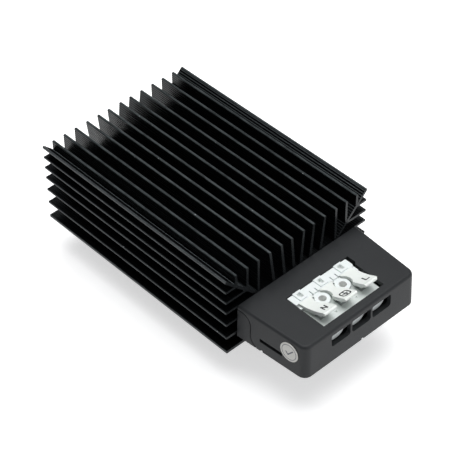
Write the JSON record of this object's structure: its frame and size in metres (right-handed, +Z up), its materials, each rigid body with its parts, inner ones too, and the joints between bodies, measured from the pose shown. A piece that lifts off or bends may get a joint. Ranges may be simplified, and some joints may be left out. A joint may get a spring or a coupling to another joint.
{
  "type": "enclosure heater",
  "caption": "Flat finned enclosure heater with a plastic connection box, a push terminal with release levers and a clip for a mounting rail.",
  "frame": {"origin": "under the middle of the whole part, on the plane of the rail clip's lower edge", "axes": "+Z up through the fins, +Y from the connection box to the far end of the profile, +X to the right when seen from the connection box"},
  "size_m": [0.07, 0.1318, 0.05],
  "materials": {
    "anodised": "black anodised, fine lengthwise grain",
    "plastic": "dark grey, fine texture",
    "white": "white, satin",
    "steel": "zinc plated",
    "spring": "spring steel",
    "copper": "tinned copper",
    "ceramic": "dark ceramic",
    "film": "amber film",
    "aluminium": "bare",
    "silicone": "soft, matt",
    "blue": "insulation",
    "brown": "insulation",
    "green": "insulation",
    "paper": "pale label"
  },
  "bodies": {
    "heater": {"finned_profile": "anodised", "insulating_sleeve": "film", "lower_electrode": "aluminium", "upper_electrode": "aluminium", "ptc_stone_1": "ceramic", "ptc_stone_2": "ceramic", "ptc_stone_3": "ceramic", "ptc_stone_4": "ceramic", "pressure_wedge": "aluminium", "channel_plug": "silicone", "connection_base": "plastic", "connection_cover": "plastic", "terminal_block": "white", "contact_bar_neutral": "copper", "contact_bar_earth": "copper", "contact_bar_live": "copper", "clamp_spring_neutral": "spring", "clamp_spring_earth": "spring", "clamp_spring_live": "spring", "lead_neutral": "blue", "lead_earth": "green", "lead_live": "brown", "earth_lug": "copper", "base_screw_left": "steel", "base_screw_right": "steel", "rail_bracket": "steel", "rail_latch": "spring", "bracket_screw_front": "steel", "bracket_screw_rear": "steel", "inspection_sticker": "paper"},
    "lever_neutral_body": {"lever_neutral": "white"},
    "lever_earth_body": {"lever_earth": "white"},
    "lever_live_body": {"lever_live": "white"}
  },
  "joints": [
    {"name": "lever_neutral_press", "type": "hinge", "parent": "heater", "child": "lever_neutral_body", "pos_m": [-0.01035, -0.04915, 0.0336], "axis": [1, 0, 0], "range_deg": [0, 12], "stiffness_Nm_per_rad": 0.01, "springref_deg": -2.86},
    {"name": "lever_earth_press", "type": "hinge", "parent": "heater", "child": "lever_earth_body", "pos_m": [-0.0002, -0.04915, 0.0336], "axis": [1, 0, 0], "range_deg": [0, 12], "stiffness_Nm_per_rad": 0.01, "springref_deg": -2.86},
    {"name": "lever_live_press", "type": "hinge", "parent": "heater", "child": "lever_live_body", "pos_m": [0.00995, -0.04915, 0.0336], "axis": [1, 0, 0], "range_deg": [0, 12], "stiffness_Nm_per_rad": 0.01, "springref_deg": -2.86}
  ]
}
